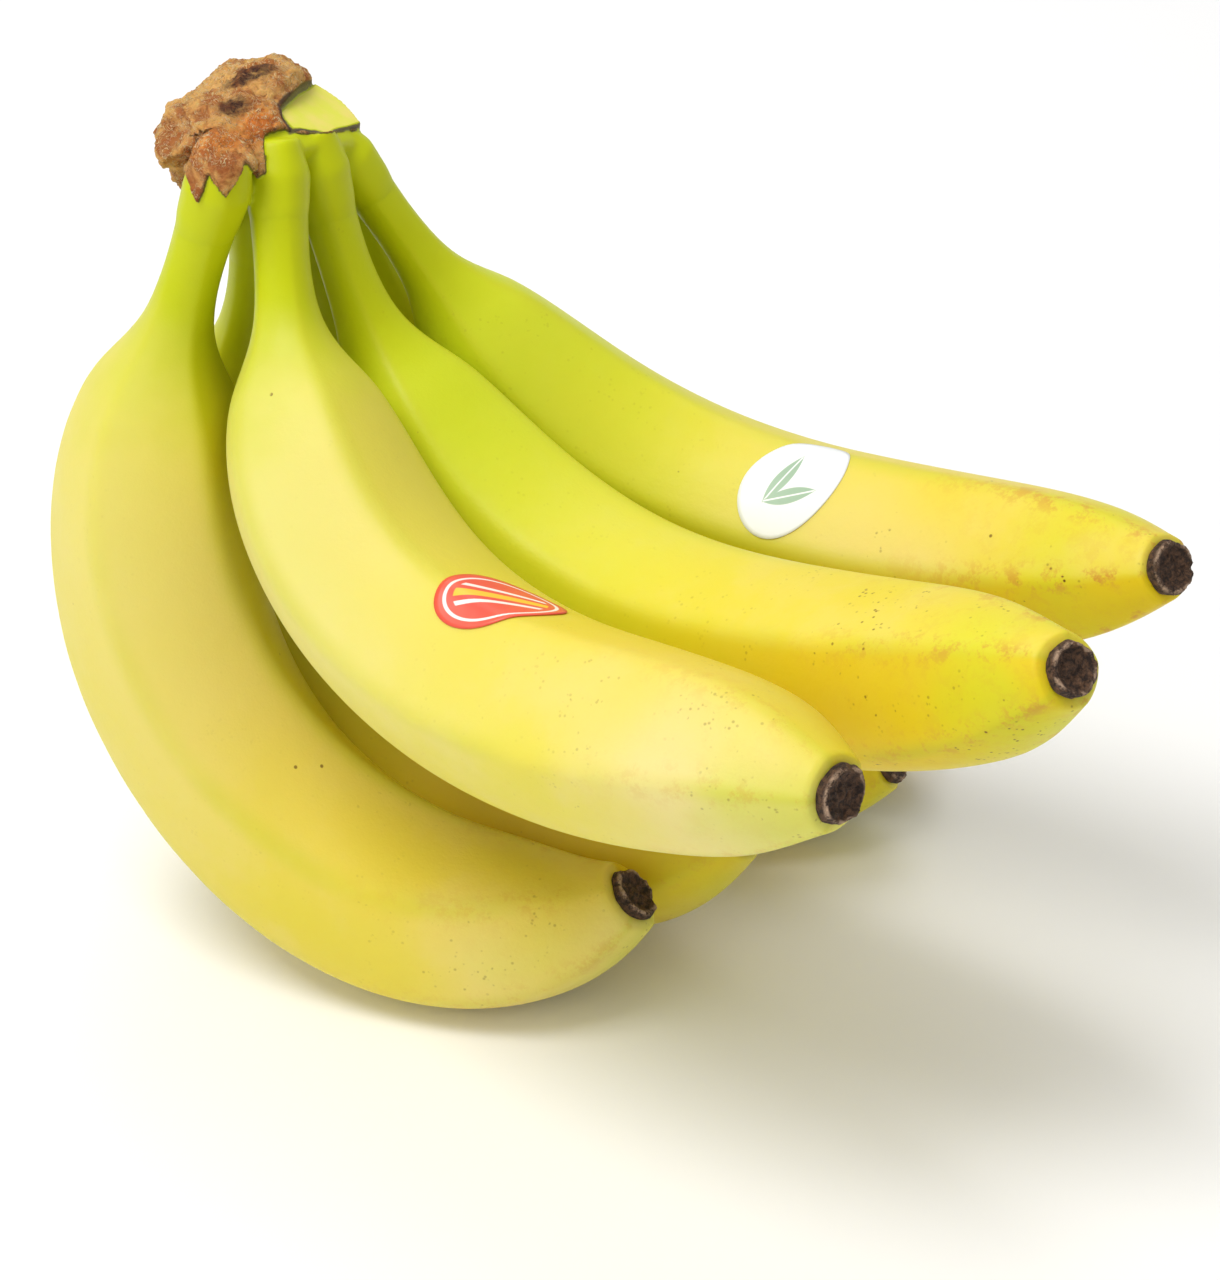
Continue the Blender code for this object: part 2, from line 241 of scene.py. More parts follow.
# hangs the mesh in the scene, and on the bunch where it stands for a part
def finish(mesh, name, look, node=None):
    bmesh.ops.recalc_face_normals(mesh, faces=mesh.faces)
    for face in mesh.faces:
        face.smooth = True
    data = bpy.data.meshes.new(name)
    mesh.to_mesh(data)
    mesh.free()
    data.materials.append(look)
    piece = bpy.data.objects.new(name, data)
    bpy.context.scene.collection.objects.link(piece)
    if node:
        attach(piece, "root")
        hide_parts(node)
    return piece


def sRgb(red, green, blue):
    return tuple(v / 12.92 if v <= 0.04045 else ((v + 0.055) / 1.055) ** 2.4
                 for v in (red / 255, green / 255, blue / 255)) + (1.0,)


class Look:
    def __init__(self, name):
        self.made = bpy.data.materials.new(name)
        self.made.use_nodes = True
        self.tree = self.made.node_tree
        self.shader = self.tree.nodes["Principled BSDF"]
        self.place = self.add("TexCoord").outputs["Object"]

    def add(self, kind, **settings):
        node = self.tree.nodes.new("ShaderNode" + kind)
        for key, value in settings.items():
            setattr(node, key, value)
        return node

    def feed(self, socket, value):
        if isinstance(value, bpy.types.NodeSocket):
            self.tree.links.new(value, socket)
        else:
            socket.default_value = value

    def attribute(self, name):
        return self.add("Attribute", attribute_name=name).outputs["Fac"]

    def noise(self, scale, detail=3.0, rough=0.55, warp=0.0):
        node = self.add("TexNoise")
        self.feed(node.inputs["Vector"], self.place)
        node.inputs["Scale"].default_value = scale
        node.inputs["Detail"].default_value = detail
        node.inputs["Roughness"].default_value = rough
        node.inputs["Distortion"].default_value = warp
        return node.outputs["Fac"]

    def cells(self, scale):
        node = self.add("TexVoronoi")
        self.feed(node.inputs["Vector"], self.place)
        node.inputs["Scale"].default_value = scale
        return node.outputs["Distance"]

    def maths(self, action, first, second=0.0, third=None):
        node = self.add("Math", operation=action)
        self.feed(node.inputs[0], first)
        self.feed(node.inputs[1], second)
        if third is not None:
            self.feed(node.inputs[2], third)
        return node.outputs[0]

    # 0 below low, 1 above high, smooth between
    def step(self, value, low, high):
        node = self.add("MapRange", interpolation_type="SMOOTHSTEP")
        self.feed(node.inputs["Value"], value)
        flip = low > high
        node.inputs["From Min"].default_value = min(low, high)
        node.inputs["From Max"].default_value = max(low, high)
        node.inputs["To Min"].default_value = 1.0 if flip else 0.0
        node.inputs["To Max"].default_value = 0.0 if flip else 1.0
        return node.outputs["Result"]

    def times(self, *values):
        result = values[0]
        for value in values[1:]:
            result = self.maths("MULTIPLY", result, value)
        return result

    def mix(self, share, under, over):
        node = self.add("Mix", data_type="RGBA")
        self.feed(node.inputs["Factor"], share)
        self.feed(node.inputs[6], under)
        self.feed(node.inputs[7], over)
        return node.outputs[2]

    def bump(self, height, strength, distance, before=None):
        node = self.add("Bump")
        node.inputs["Strength"].default_value = strength
        node.inputs["Distance"].default_value = distance
        self.feed(node.inputs["Height"], height)
        if before:
            self.feed(node.inputs["Normal"], before)
        return node.outputs["Normal"]

    # fixed holds the settings that are the same all over, under the shader's own names for them
    def coat(self, colour, roughness, normal=None, fixed={}):
        for name, value in (("Base Color", colour), ("Roughness", roughness), ("Normal", normal)):
            if value is not None:
                self.feed(self.shader.inputs[name], value)
        for name, value in fixed.items():
            self.shader.inputs[name].default_value = value
        return self.made


peelSettings = {
    "paleYellow": sRgb(234, 219, 146),
    "yellow": sRgb(224, 213, 50),
    # painted shade: the darker, more saturated yellow of the flank past the main ridge, and its more golden
    # form near the tip
    "paintedShadeYellow": sRgb(206, 196, 6),
    "paintedShadeGold": sRgb(232, 196, 16),
    "gold": sRgb(228, 194, 52),
    "stalkGreen": sRgb(192, 200, 12),
    "tipGreen": sRgb(204, 214, 40),
    "ridgeGreen": sRgb(196, 196, 40),
    "speck": sRgb(104, 58, 22),
    "scuff": sRgb(168, 118, 62),
    "russet": sRgb(204, 138, 58),
    "roughness": 0.42,
    # low gloss, and a little light that passes through the outer peel
    "fixed": {"Specular IOR Level": 0.18, "Subsurface Weight": 0.22, "Subsurface Scale": 4 * mm,
              "Subsurface Radius": (1.0, 0.62, 0.18)},
    "dots": 880,                     # freckles and spots to the metre
    "spots": 170,
    "clouds": 190,
    "finePores": (1400, 0.10, 0.4 * mm),
    "grain": (230, 0.14, 0.8 * mm),
}


def peelColour(look, along, ripe, freckles, ridge=None, inside=None, paintedShade=None, green=0.5, pale=0.2,
               s=peelSettings):
    broad = look.noise(14, 2, 0.5)
    mottle = look.noise(60, 4, 0.6)
    body = look.mix(look.step(broad, 0.35, 0.68), s["yellow"], s["paleYellow"])
    body = look.mix(look.times(look.step(mottle, 0.42, 0.72), 0.30), body, s["paleYellow"])
    fading = look.maths("MULTIPLY_ADD", look.step(along, 0.85, 0.50), 0.75, 0.25)
    patches = look.step(look.noise(9, 2, 0.5), 0.2, 0.55)
    body = look.mix(look.times(patches, fading, pale), body, s["paleYellow"])
    body = look.mix(look.maths("MULTIPLY", ripe, 0.55), body, s["gold"])
    # painted shade on the flank past the main ridge, more golden towards the tip, partly the peel's own richer
    # flank colour
    if paintedShade is not None:
        paintedShadeColour = look.mix(look.times(look.step(along, 0.45, 0.80), 0.7), s["paintedShadeYellow"], s["paintedShadeGold"])
        body = look.mix(look.times(paintedShade, look.step(look.noise(20, 2, 0.5), -0.2, 0.42)), body, paintedShadeColour)
    # a golden tint on the inner, concave side: partly the peel's own tone, partly painted shade of the inner
    # flank turned from the light
    if inside is not None:
        body = look.mix(look.times(inside, 0.35), body, s["gold"])
    # green at the stalk fades through the shoulder, in soft uneven streaks
    uneven = look.maths("MULTIPLY_ADD", look.maths("SUBTRACT", look.noise(34, 3, 0.6), 0.5), 0.16, along)
    body = look.mix(look.times(look.step(uneven, 0.78, 0.14), green), body, s["tipGreen"])
    body = look.mix(look.step(uneven, 0.28, 0.08), body, s["stalkGreen"])
    tipTouch = look.times(look.step(uneven, 0.84, 0.97), look.step(look.noise(22, 2, 0.5), 0.38, 0.62), 0.50)
    body = look.mix(tipTouch, body, s["tipGreen"])
    if ridge is not None:
        close = look.times(look.step(ridge, 0.34, 0.0), look.step(look.noise(26, 2, 0.5), 0.30, 0.66))
        body = look.mix(look.times(close, look.step(along, 0.06, 0.16), 0.42), body, s["ridgeGreen"])
        # russet clouds near the tip, strongest on the ridges
        wisps = look.step(look.noise(s["clouds"], 6, 0.8), 0.48, 0.62)
        onRidge = look.maths("ADD", look.step(ridge, 0.55, 0.0), 0.22)
        cloud = look.times(look.step(along, 0.66, 0.96), wisps, onRidge)
        body = look.mix(look.times(cloud, 0.65, freckles), body, s["russet"])
    # fine freckles, thickest towards the tip, and a few scuffs
    dots = look.step(look.cells(s["dots"]), 0.36, 0.14)
    chosen = look.step(look.noise(400, 1, 0.5), 0.55, 0.62)
    crowd = look.maths("ADD", look.step(along, 0.50, 0.95), 0.12)
    patch = look.step(look.noise(44, 3, 0.65), 0.46, 0.60)
    body = look.mix(look.times(dots, chosen, crowd, patch, freckles), body, s["speck"])
    spots = look.step(look.cells(s["spots"]), 0.075, 0.045)
    few = look.step(look.noise(75, 0, 0.5), 0.63, 0.66)
    body = look.mix(look.times(spots, few, 0.75), body, s["speck"])
    scuffs = look.step(look.noise(46, 6, 0.72, 0.8), 0.725, 0.765)
    body = look.mix(look.times(scuffs, 0.45), body, s["scuff"])
    return body, scuffs


def makePeel(name, spec, s=peelSettings):
    look = Look(name)
    along, ridge, inside, paintedShade = (look.attribute(key) for key in ("along", "ridge", "inside", "paintedShade"))
    colour, scuffs = peelColour(look, along, spec["ripe"], spec["freckles"], ridge, inside, paintedShade,
                                spec.get("green", 0.45), spec.get("pale", 0.2))
    poreScale, poreStrength, poreDepth = s["finePores"]
    grainScale, grainStrength, grainDepth = s["grain"]
    normal = look.bump(look.noise(poreScale, 3, 0.6), poreStrength, poreDepth)
    normal = look.bump(look.noise(grainScale, 4, 0.55), grainStrength, grainDepth, normal)
    rough = look.maths("MULTIPLY_ADD", look.noise(90, 3, 0.6), 0.16, s["roughness"] - 0.08)
    rough = look.maths("ADD", rough, look.times(scuffs, 0.2))
    return look.coat(colour, rough, normal, s["fixed"])


tipSettings = {
    "grid": (72, 40),                # cells around it, and from the outside in
    "radius": 5.4 * mm,
    "sunk": 0.5 * mm,
    "ragged": 0.75 * mm,
    "crumple": 0.45 * mm,
    "char": sRgb(50, 36, 28),
    "brown": sRgb(108, 78, 56),
    "rim": sRgb(196, 164, 136),
    "profile": ((0.0, 0.90), (0.7, 1.0), (1.4, 1.03), (2.2, 1.0), (2.8, 0.91), (2.75, 0.80),
                (2.2, 0.70), (1.8, 0.5), (1.8, 0.3), (2.1, 0.12), (2.15, 0.0)),
}

bananaMesh = {
    "around": 110,
    "along": 200,
    "lumps": 0.16 * mm,
    "lumpSize": 38,
    "lipStart": 0.975,               # share of the length where the peel starts to roll over
    "lip": 0.45 * mm,
    "lipReach": 0.80,                # where it ends, as a share of the dried end's radius
}


def makeBanana(name, spec, s=bananaMesh):
    finger = fingers[name]
    mesh, flat = sheet(s["around"], s["along"])
    last = 1 - (shape["tipLength"] * shape["tipSunk"] + shape["tipGap"]) / finger.length
    at = np.clip(flat[:, 1] / s["lipStart"], 0, 1) * last
    angle = flat[:, 0] * 360
    points = finger.skin(at, angle)
    # the skin rolls over in a soft lip to meet the dried end
    roll = np.clip((flat[:, 1] - s["lipStart"]) / (1 - s["lipStart"]), 0, 1)
    endCentre, endWay = (v[0] for v in finger.frame(np.array([last]))[:2])
    spoke = points - endCentre
    spoke -= endWay * (spoke @ endWay)[:, None]
    reach = np.linalg.norm(spoke, axis=1)
    target = tipSettings["radius"] * spec.get("tip", 1.0) * s["lipReach"]
    narrow = 1 - (1 - np.minimum(target / reach, 1)) * np.sin(roll * math.pi / 2) ** 1.5
    swell = s["lip"] * np.sin(roll * math.pi * 0.75)
    rolled = endCentre + spoke * narrow[:, None] + endWay * swell[:, None]
    points = np.where(roll[:, None] > 0, rolled, points)
    _, _, inner, flank = finger.frame(at)
    ways = np.cos(np.radians(angle))[:, None] * inner + np.sin(np.radians(angle))[:, None] * flank
    lumps = np.array([noise.noise(Vector(p) * s["lumpSize"]) for p in points])
    points += ways * ((lumps - 0.5) * s["lumps"] * (1 - roll))[:, None]
    points[:, 2] = np.maximum(points[:, 2], 0)
    settle(mesh, points)
    keep(mesh, "along", at)
    keep(mesh, "ridge", finger.ridge(at, angle))
    # the inner side's golden tint, partly painted shade
    keep(mesh, "inside", np.clip(np.cos(np.radians(angle)), 0, 1))
    # how much painted shade the flank past the main ridge gets
    keep(mesh, "paintedShade", finger.beyond(at, angle, spec.get("paintedShadeSide", 1)) * spec.get("paintedShade", 0.7))
    bmesh.ops.remove_doubles(mesh, verts=mesh.verts, dist=0.001 * mm)
    closeEnds(mesh)
    return finish(mesh, "banana_skin_" + name, makePeel("peel_" + name, spec), "banana_" + name)


for name, spec in bananas.items():
    makeBanana(name, spec)
    print("banana", name)


def makeTipLook(s=tipSettings):
    look = Look("dried_blossom_end")
    cup, edge = look.attribute("cup"), look.noise(420, 5, 0.7)
    fibre = look.noise(900, 4, 0.7, 0.5)
    colour = look.mix(look.step(fibre, 0.38, 0.66), s["char"], s["brown"])
    rim = look.times(look.step(cup, 0.28, 0.37), look.step(cup, 0.52, 0.42), look.step(edge, 0.42, 0.58), 0.85)
    colour = look.mix(rim, colour, s["rim"])
    normal = look.bump(fibre, 0.8, 0.0012)
    normal = look.bump(edge, 0.7, 0.002, normal)
    return look.coat(colour, look.maths("MULTIPLY_ADD", edge, 0.3, 0.55), normal, {"Specular IOR Level": 0.35})


tipLook = makeTipLook()


def makeTip(name, s=tipSettings):
    finger = fingers[name]
    mesh, flat = sheet(*s["grid"])
    steps = np.linspace(0, 1, len(s["profile"]))
    height = np.interp(flat[:, 1], steps, [p[0] for p in s["profile"]]) * mm
    share = np.interp(flat[:, 1], steps, [p[1] for p in s["profile"]])
    centre, tangent, inner, flank = (v[0] for v in finger.frame(np.array([1.0])))
    turned = flat[:, 0] * 2 * math.pi
    ways = np.cos(turned)[:, None] * inner + np.sin(turned)[:, None] * flank
    seed = Vector(centre) * 700
    ring = [Vector((math.cos(a) * 1.6, math.sin(a) * 1.6, v * 2.0)) for a, v in zip(turned, flat[:, 1])]
    ragged = np.array([noise.fractal(seed + place, 0.8, 2.1, 4) for place in ring])
    crumple = np.array([noise.noise(Vector((math.cos(a) * r, math.sin(a) * r, 0)) * 5.0 + seed)
                        for a, r in zip(turned, share)])
    edge = np.clip(1 - np.abs(flat[:, 1] - 0.42) / 0.30, 0, 1)
    share = share * (1 + 0.10 * ragged * np.clip(flat[:, 1] / 0.2, 0, 1))
    height = height + ragged * edge * s["ragged"] + crumple * (flat[:, 1] > 0.5) * s["crumple"]
    start = -shape["tipLength"] * shape["tipSunk"] - s["sunk"]
    wide = share * s["radius"] * bananas[name].get("tip", 1.0)
    settle(mesh, centre + tangent * (start + height)[:, None] + ways * wide[:, None])
    keep(mesh, "cup", flat[:, 1])
    bmesh.ops.remove_doubles(mesh, verts=mesh.verts, dist=0.001 * mm)
    closeEnds(mesh)
    return finish(mesh, "dried_end_" + name, tipLook, "blossom_end_" + name)


for name in bananas:
    makeTip(name)
print("blossom ends made")

crownSettings = {
    "cuts": 31,
    "half": (24.6, 12.0),            # along the row, across the rows
    "offset": -3.0,                  # its middle lies this far towards the first banana
    "top": ((-28, 11.5), (-24, 15.5), (-17, 19.0), (-9, 22.0), (0, 24.6), (5, 26.2), (9, 24.6), (12.5, 22.0),
            (16, 17.6), (22, 9.8)),
    "spine": 2.0,                    # the highest line lies this far towards the back row
    "slope": 0.52,
    "low": -0.5,
    "liftLeft": 9.0,                 # the underside rises towards the first banana
    "collar": (-0.034, 0.060),       # where it starts and ends, as shares of the banana's length
    "collarGrid": (44, 36),
    # the edges below are drawn on a slanted plane: sideways and upwards along these two directions
    "sideways": (0.62, -0.72, -0.30),
    "upwards": (0.14, -0.27, 0.95),
    "freshCut": ((0.12, -0.92, 0.36), 12.6),
    "freshRegion": ((9.5, 20.5), (7.2, 17.6), (2.9, 14.2), (3.3, 10.2), (4.1, 7.7), (9.9, 7.2), (18.4, 9.4),
                    (18, 16)),
    "barkEdge": ((-40, 4.5), (-21.5, 5.0), (-19.8, 3.4), (-19.2, 2.2), (-17.9, 2.3), (-15.7, 3.0),
                 (-15.0, -0.7), (-14.1, -4.2), (-13.2, -3.0), (-11.0, -0.2), (-9.9, -2.4), (-9.2, -4.4),
                 (-7.6, -3.0), (-5.0, 0.2), (-4.2, 0.4), (-3.4, -1.0), (-1.7, -0.3), (-1.3, 2.6), (-1.0, 6.2),
                 (0.3, 7.0), (2.8, 7.6), (4.0, 7.2), (6.8, 6.5), (9.9, 6.4), (13.2, 7.4), (14.8, 8.0),
                 (40, 7.0)),
    "frontDeep": 4,                  # the edges above hold up to here across the rows, and behind it
    "freshDeep": 4.5,
    "backEdge": 4.0,                 # the bark ends at this height
    "barkThick": 0.9,
    "voxel": 0.45,
    "smoothing": 9,
    # scale and seed of the roughness
    "wander": (0.35, 3.1),
    "fibre": (1.1, 9.7),
    "lumps": (0.13, 5.3),
    # spots of colour: aside, above, half width, half height, share, lean
    "burntSpots": ((-2.07, 18.6, 5.02, 1.826, 1.0, 1.3), (-5.6, 12.5, 3.834, 2.191, 0.85, 0.0)),
    "glowSpots": ((-1.8, 9.0, 3.2, 2.6, 1.0, 0.0), (-8.0, 5.5, 6.0, 2.4, 0.7, 0.0)),
    "tan": sRgb(240, 184, 108),
    "orange": sRgb(244, 136, 44),
    "brown": sRgb(180, 108, 58),
    "burnt": sRgb(58, 44, 42),
    "rust": sRgb(128, 62, 28),
    "straw": sRgb(252, 226, 176),
    "fresh": sRgb(222, 222, 76),
    "freshPale": sRgb(232, 218, 110),
    "dry": sRgb(84, 68, 58),
}


# the middle of the seven roots, and the directions along the row, across the rows and up
def crownWays():
    roots = {name: Vector(finger.centre[0]) for name, finger in fingers.items()}
    front = [roots[name] for name in roots if "front" in name]
    back = [roots[name] for name in roots if "back" in name]
    row = (front[-1] - front[0]).normalized()
    across = sum(back, Vector()) / len(back) - sum(front, Vector()) / len(front)
    across = (across - row * row.dot(across)).normalized()
    up = row.cross(across)
    middle = Vector()
    for way in (row, across, up):
        reach = [way.dot(root) for root in roots.values()]
        middle += way * (min(reach) + max(reach)) / 2
    return middle, Matrix((row, across, up)).transposed()


crownMiddle, crownTurn = crownWays()
crownPlace = Matrix.Translation(crownMiddle) @ crownTurn.to_4x4()
crownBack = np.array(crownPlace.inverted())


# a long ridge-shaped block
def crownDome(s=crownSettings):
    mesh = bmesh.new()
    bmesh.ops.create_cube(mesh, size=2.0)
    bmesh.ops.subdivide_edges(mesh, edges=mesh.edges, cuts=s["cuts"], use_grid_fill=True)
    for vert in mesh.verts:
        a, b, c = vert.co
        h = (c + 1) / 2
        x = s["half"][0] * a * (1 - 0.25 * b * b) * (1 - 0.06 * h * h) + s["offset"]
        y = s["half"][1] * b * (1 - 0.30 * a * a) * (1 - 0.10 * h * h)
        if a < 0 < b:
            y *= 1 - 0.55 * a * a
        top = np.interp(x, [p[0] for p in s["top"]], [p[1] for p in s["top"]])
        top -= s["slope"] * abs(y - s["spine"]) + 2.5 * max(abs(a), abs(b)) ** 5
        low = s["low"] + 1.5 * max(abs(a), abs(b)) ** 3 + s["liftLeft"] * min(max((-13 - x) / 9, 0), 1)
        vert.co = Vector((x, y, low + h * (top - low))) * mm
    bmesh.ops.transform(mesh, matrix=crownPlace, verts=mesh.verts)
    return mesh


# the stalks run on up into the crown, and end just under the skin of the bananas below it
def crownCollar(mesh, finger, s=crownSettings):
    part, flat = sheet(*s["collarGrid"])
    start, end = s["collar"]
    at = start + flat[:, 1] * (end - start)
    grow = np.interp(at, (start, 0.0, 0.03, end), (-1.6, 0.30, 0.30, -0.45)) * mm
    points = finger.skin(np.clip(at, 0, 1), flat[:, 0] * 360, grow, pressed=False)
    points += finger.tangent[0] * (np.minimum(at, 0) * finger.length)[:, None]
    settle(part, points)
    bmesh.ops.remove_doubles(part, verts=part.verts, dist=0.001 * mm)
    closeEnds(part)
    bmesh.ops.recalc_face_normals(part, faces=part.faces)
    made = bpy.data.meshes.new("collar")
    part.to_mesh(made)
    part.free()
    mesh.from_mesh(made)
    bpy.data.meshes.remove(made)


# signed distance to the outline of the fresh cut, positive inside
def insideOf(region, x, z):
    corners = np.array(region, float)
    following = np.roll(corners, -1, 0)
    area = ((following[:, 0] - corners[:, 0]) * (following[:, 1] + corners[:, 1])).sum()
    side = 1.0 if area > 0 else -1.0
    nearest = np.full(len(x), 1e9)
    for (x0, z0), (x1, z1) in zip(corners, following):
        wide, tall = x1 - x0, z1 - z0
        size = math.hypot(wide, tall)
        nearest = np.minimum(nearest, side * ((x - x0) * -tall + (z - z0) * wide) / size * -1)
    return nearest


def softSpots(aside, above, places):
    return sum(share * np.exp(-((aside - x - (above - z) * lean) / wide) ** 2 - ((above - z) / tall) ** 2)
               for x, z, wide, tall, share, lean in places)


def makeCrown(s=crownSettings):
    mesh = crownDome()
    for finger in fingers.values():
        crownCollar(mesh, finger)
    data = bpy.data.meshes.new("crown_rough")
    mesh.to_mesh(data)
    mesh.free()
    rough = bpy.data.objects.new("crown_rough", data)
    bpy.context.scene.collection.objects.link(rough)
    change = rough.modifiers.new("join", "REMESH")
    change.mode = "VOXEL"
    change.voxel_size = s["voxel"] * mm
    graph = bpy.context.evaluated_depsgraph_get()
    joined = bpy.data.meshes.new_from_object(rough.evaluated_get(graph))
    bpy.data.objects.remove(rough)
    mesh = bmesh.new()
    mesh.from_mesh(joined)
    for _ in range(s["smoothing"]):
        bmesh.ops.smooth_vert(mesh, verts=mesh.verts, factor=0.5, use_axis_x=True, use_axis_y=True,
                              use_axis_z=True)
    mesh.normal_update()
    world = np.array([vert.co for vert in mesh.verts])
    normals = np.array([vert.normal for vert in mesh.verts])
    turn = crownBack[:3, :3]
    local = (world @ turn.T + crownBack[:3, 3]) / mm
    x, y, z = local.T

    def fractal(scale, seed):
        start = Vector((seed, 0, 0))
        return np.array([noise.fractal(Vector(p) * scale + start, 0.75, 2.1, 4) for p in local])

    wander, fibre, lumps = fractal(*s["wander"]), fractal(*s["fibre"]), fractal(*s["lumps"])
    aside, above = local @ np.array(s["sideways"]), local @ np.array(s["upwards"])
    inFresh = insideOf(s["freshRegion"], aside + wander * 0.2, above + wander * 0.2)
    inFresh = np.minimum(inFresh, s["freshDeep"] - y + wander * 0.2)
    fresh = np.clip(inFresh / 0.5, 0, 1)
    edge = np.interp(aside, [p[0] for p in s["barkEdge"]], [p[1] for p in s["barkEdge"]])
    behind = s["backEdge"] + 2 * wander
    past = np.where(y > s["frontDeep"], z - behind, above - edge - wander * 0.35)
    bark = np.clip(past / 0.5 + 0.5, 0, 1) * np.clip(1 - (inFresh + 0.7) / 0.5, 0, 1)
    # the fresh cut lies flat below the bark
    facing = unit(np.array(s["freshCut"][0], float))
    over = local @ facing - s["freshCut"][1]
    over = over / np.linalg.norm(s["freshCut"][0])
    flatten = np.clip(inFresh / 0.6 + 1, 0, 1) * np.clip(over / 0.8 + 3, 0, 1)
    local -= facing * (over * flatten)[:, None]
    moved = (local * mm) @ np.array(crownPlace)[:3, :3].T + np.array(crownPlace)[:3, 3]
    # the bark is rough and lumpy, and thins out towards the cut
    thick = s["barkThick"] + 0.45 * fibre + 1.5 * lumps * np.clip(z / 6, 0, 1)
    lift = bark * np.clip(-inFresh / 2.5, 0.12, 1) * thick * mm
    settle(mesh, moved + normals * lift[:, None])
    keep(mesh, "bark", bark)
    keep(mesh, "fresh", fresh)
    broad = 0.5 + 0.8 * np.clip((5.5 - aside) / 2, 0, 1)
    keep(mesh, "freshEdge", np.clip(1 - np.abs(inFresh + 0.45 * broad) / broad, 0, 1))
    keep(mesh, "margin", np.clip(1 - np.abs(past) / 1.1, 0, 1))
    inFront = y < s["frontDeep"]
    burnt = softSpots(aside, above, s["burntSpots"])
    keep(mesh, "burnt", np.clip(burnt * inFront + wander * 0.10, 0, 1))
    keep(mesh, "glow", np.clip(softSpots(aside, above, s["glowSpots"]) * inFront, 0, 1))
    below = np.clip(-z / 12, 0, 1)
    keep(mesh, "along", 0.02 + 0.04 * below)
    return finish(mesh, "crown_cork", crownLook(), "crown")


def crownLook(s=crownSettings):
    look = Look("corky_crown")
    bark, margin, burnt, glow = (look.attribute(key) for key in ("bark", "margin", "burnt", "glow"))
    fresh, rim, along = (look.attribute(key) for key in ("fresh", "freshEdge", "along"))
    green, _ = peelColour(look, along, 0.4, 0.1)
    patchy = look.noise(150, 5, 0.65, 0.6)
    fibre = look.noise(560, 6, 0.75, 1.6)
    curls = look.maths("ABSOLUTE", look.maths("SUBTRACT", look.noise(420, 2, 0.5, 2.2), 0.5))
    threads = look.times(look.step(curls, 0.030, 0.008), look.step(look.noise(180, 3, 0.6), 0.36, 0.52))
    cork = look.mix(look.step(patchy, 0.40, 0.60), s["brown"], s["tan"])
    cork = look.mix(look.times(glow, look.step(patchy, 0.25, 0.55), 0.9), cork, s["orange"])
    cork = look.mix(look.times(look.step(fibre, 0.48, 0.36), 0.60), cork, s["rust"])
    cork = look.mix(look.times(threads, look.step(burnt, 0.8, 0.2), 0.85), cork, s["straw"])
    scorch = look.times(look.step(burnt, 0.25, 0.70), look.step(fibre, 0.85, 0.35), 0.92)
    cork = look.mix(scorch, cork, s["burnt"])
    fringe = look.times(look.step(margin, 0.25, 0.85), look.step(fibre, 0.70, 0.35), 0.8)
    cork = look.mix(fringe, cork, s["dry"])
    colour = look.mix(look.step(bark, 0.3, 0.7), green, cork)
    outline = look.times(look.step(bark, 0.05, 0.35), look.step(bark, 0.75, 0.45), 0.7)
    colour = look.mix(outline, colour, s["dry"])
    cutFace = look.mix(look.step(look.noise(120, 3, 0.6), 0.4, 0.7), s["fresh"], s["freshPale"])
    colour = look.mix(look.step(fresh, 0.3, 0.8), colour, cutFace)
    cutRim = look.times(look.step(rim, 0.35, 0.75), look.step(fibre, 0.30, 0.45), 0.9)
    colour = look.mix(cutRim, colour, s["dry"])
    raised = look.maths("ADD", fibre, look.times(threads, 0.8))
    height = look.maths("MULTIPLY", look.step(bark, 0.2, 0.8), raised)
    normal = look.bump(height, 0.85, 0.0016)
    rough = look.maths("MULTIPLY_ADD", look.step(bark, 0.3, 0.7), 0.38, 0.42)
    return look.coat(colour, rough, normal, peelSettings["fixed"])


crown = makeCrown()
print("crown made,", len(crown.data.polygons), "faces")

stickerGrid = (64, 14)               # cells around the edge, and from the middle out
whiteSticker = {"banana": "front_4", "along": 0.598, "around": 14, "halfLong": 12.8 * mm, "halfWide": 9.4 * mm,
                "egg": -0.14, "spin": -45, "lift": 0.05 * mm, "thick": 0.10 * mm,
                "paper": sRgb(238, 240, 240), "print": sRgb(156, 184, 158),
                "leafLean": 0.55, "leafAside": 0.30, "leafWide": 0.26}
redSticker = {"banana": "front_2", "along": 0.575, "around": 15, "halfLong": 13.8 * mm, "halfWide": 9.0 * mm,
              "egg": -0.06, "spin": -35, "lift": 0.05 * mm, "thick": 0.10 * mm,
              "paper": sRgb(232, 78, 60), "worn": sRgb(238, 96, 62),
              "print": sRgb(250, 196, 50), "line": sRgb(246, 236, 226),
              "ring": 0.84, "bandReach": 0.70,
              "bands": ((0.0, 0.10, "print"), (0.30, 0.045, "line"), (-0.30, 0.045, "line"))}


